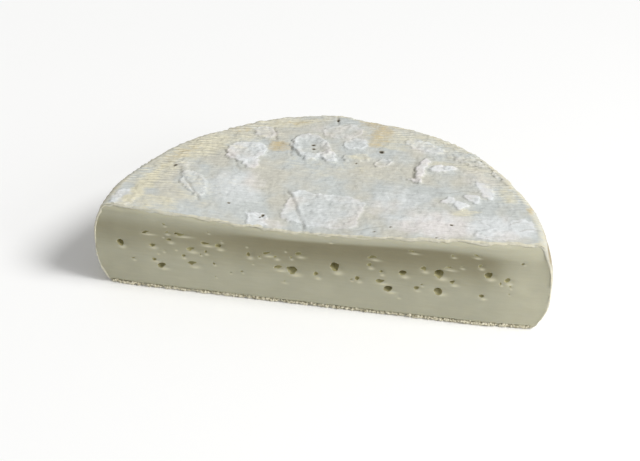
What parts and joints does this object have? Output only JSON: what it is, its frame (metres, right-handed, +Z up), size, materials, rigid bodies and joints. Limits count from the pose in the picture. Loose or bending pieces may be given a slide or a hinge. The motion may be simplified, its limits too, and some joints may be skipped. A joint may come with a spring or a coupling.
{
  "type": "half cheese wheel",
  "caption": "Half of a semi-soft pressed cheese wheel with a thin white rind, cut straight through the middle to show a pale paste with small eyes.",
  "frame": {"origin": "centre of the bounding box on the flat base", "axes": "+X along the cut face, +Y from the cut face towards the round back, +Z up through the wheel's thickness"},
  "size_m": [0.3, 0.1526, 0.063],
  "materials": {
    "rind": "dry powdery white mould over a cream rind, with mat lines and raised flakes",
    "paste": "smooth, slightly moist, pale ivory cut cheese with small eyes"
  },
  "bodies": {
    "root": {"half_wheel": "rind"}
  },
  "joints": []
}
